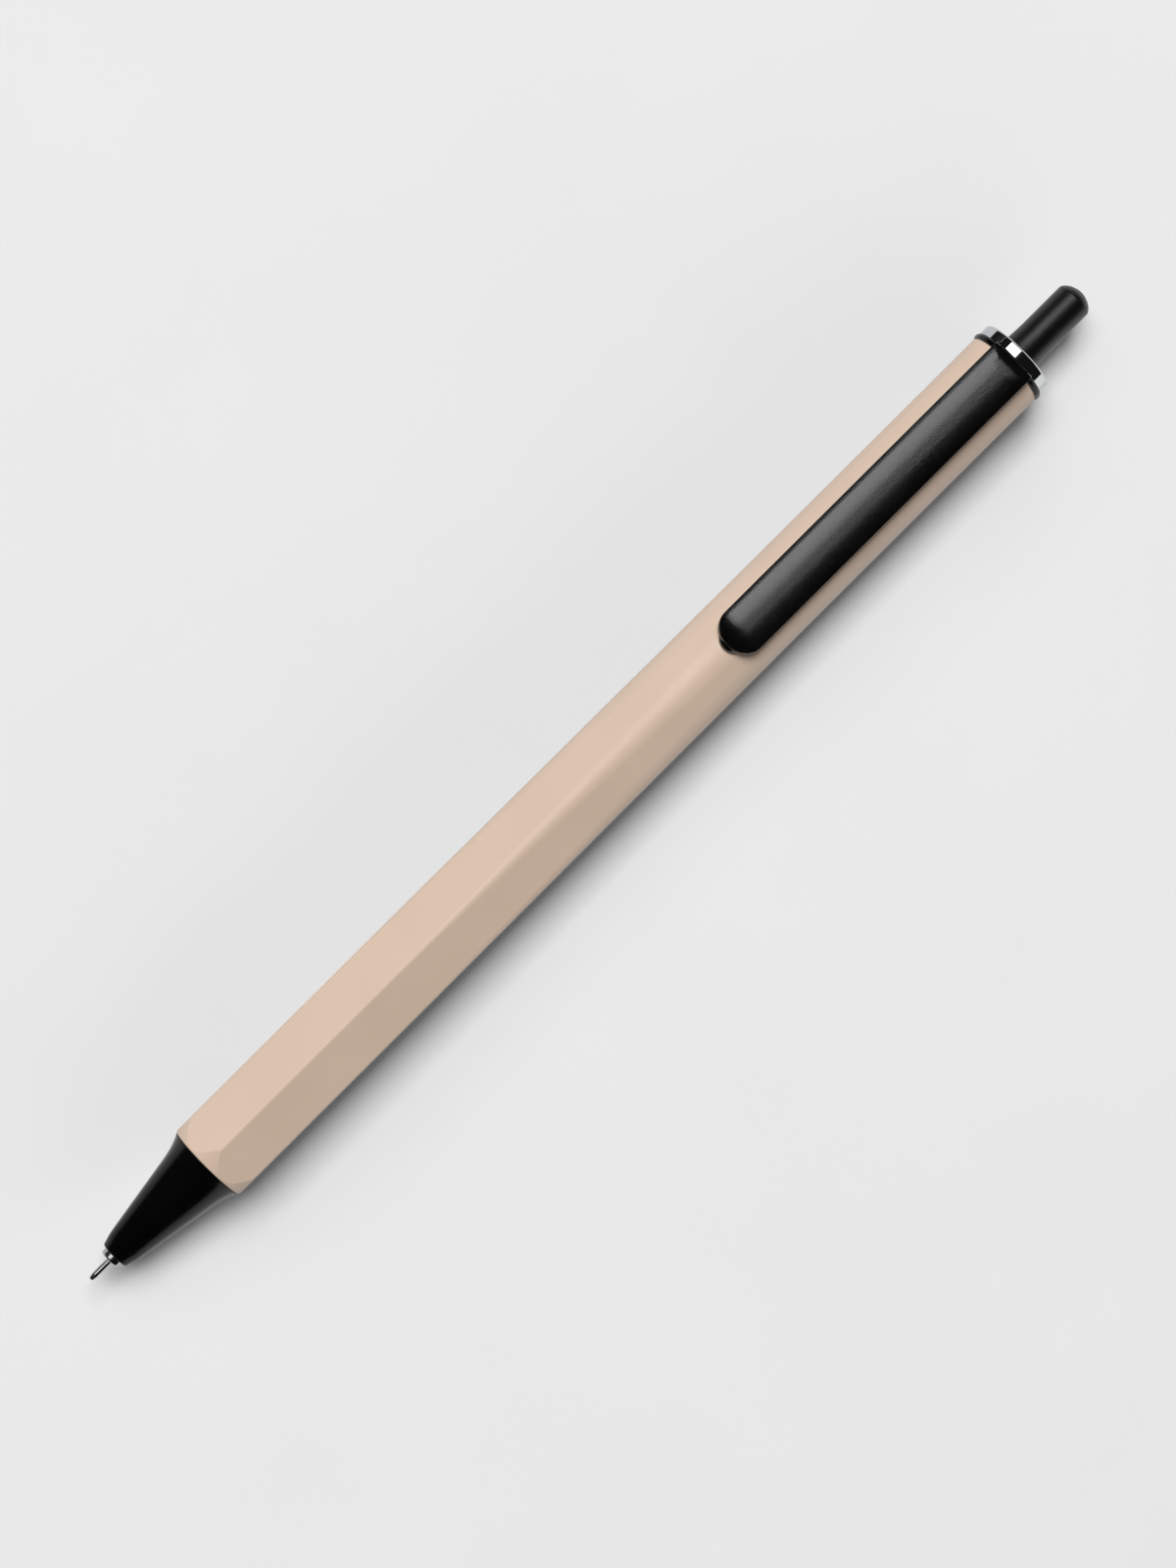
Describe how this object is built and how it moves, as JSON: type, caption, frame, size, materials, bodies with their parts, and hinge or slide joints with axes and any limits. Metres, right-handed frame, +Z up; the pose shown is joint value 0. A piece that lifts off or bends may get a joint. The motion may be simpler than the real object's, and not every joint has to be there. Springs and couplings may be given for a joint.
{
  "type": "gel rollerball pen",
  "caption": "Retractable gel rollerball pen with a needle point, a six-sided barrel that turns round towards the top, a pocket clip, a push button and a screw-off nose.",
  "frame": {"origin": "on the surface that the pen lies on, below the middle of its length and under its axis", "axes": "+X along the pen from the needle point to the push button, +Z up, +Y to the left of the pen seen from its tip; the pen lies on a flat, and its clip leans 30 degrees from +Z towards +Y"},
  "size_m": [0.1426, 0.0102, 0.011],
  "materials": {
    "barrel_lacquer": "matte",
    "black_plastic": "satin",
    "button_plastic": "satin",
    "ring_chrome": "polished",
    "white_plastic": "satin",
    "rotor_plastic": "satin",
    "spring_steel": "satin",
    "clear_tube": "gloss",
    "ink": "gloss",
    "follower_grease": "gloss",
    "tip_steel": "polished",
    "ball_metal": "polished"
  },
  "bodies": {
    "barrel": {"barrel": "barrel_lacquer", "clip_collar": "black_plastic", "top_ring": "ring_chrome", "guide_sleeve": "white_plastic"},
    "clip": {"clip_arm": "black_plastic"},
    "button": {"button": "button_plastic", "plunger": "white_plastic"},
    "refill": {"refill_tube": "clear_tube", "ink_column": "ink", "ink_follower": "follower_grease", "follower_float": "white_plastic", "tail_plug": "white_plastic", "tip_adapter": "white_plastic", "tip_shank": "tip_steel", "needle_pipe": "tip_steel", "writing_ball": "ball_metal", "ball_spring": "spring_steel"},
    "rotor": {"cam_rotor": "rotor_plastic"},
    "spring": {"return_spring": "spring_steel"},
    "nose": {"nose_cone": "black_plastic"}
  },
  "joints": [
    {"name": "button_press", "type": "slide", "parent": "barrel", "child": "button", "axis": [1, 0, 0], "range_m": [-0.0012, 0.0045]},
    {"name": "refill_slide", "type": "slide", "parent": "barrel", "child": "refill", "axis": [1, 0, 0], "range_m": [-0.0012, 0.0045], "deforming": ["return_spring"]},
    {"name": "rotor_index", "type": "hinge", "parent": "refill", "child": "rotor", "pos_m": [0.045, 0, 0.00455], "axis": [1, 0, 0], "continuous": true},
    {"name": "clip_lift", "type": "hinge", "parent": "barrel", "child": "clip", "pos_m": [0.05538, 0.00285, 0.00948], "axis": [0, 0.866, -0.5], "range_deg": [0, 5], "stiffness_Nm_per_rad": 0.5},
    {"name": "nose_travel", "type": "slide", "parent": "barrel", "child": "spring", "axis": [-1, 0, 0], "range_m": [0, 0.007]},
    {"name": "nose_turn", "type": "hinge", "parent": "spring", "child": "nose", "pos_m": [-0.058, 0, 0.00455], "axis": [-1, 0, 0], "range_deg": [0, 2525]}
  ],
  "couplings": [
    {"joint": "refill_slide", "follows": "button_press", "ratio": 1},
    {"joint": "nose_turn", "follows": "nose_travel", "rad_per_m": 6283.2}
  ]
}
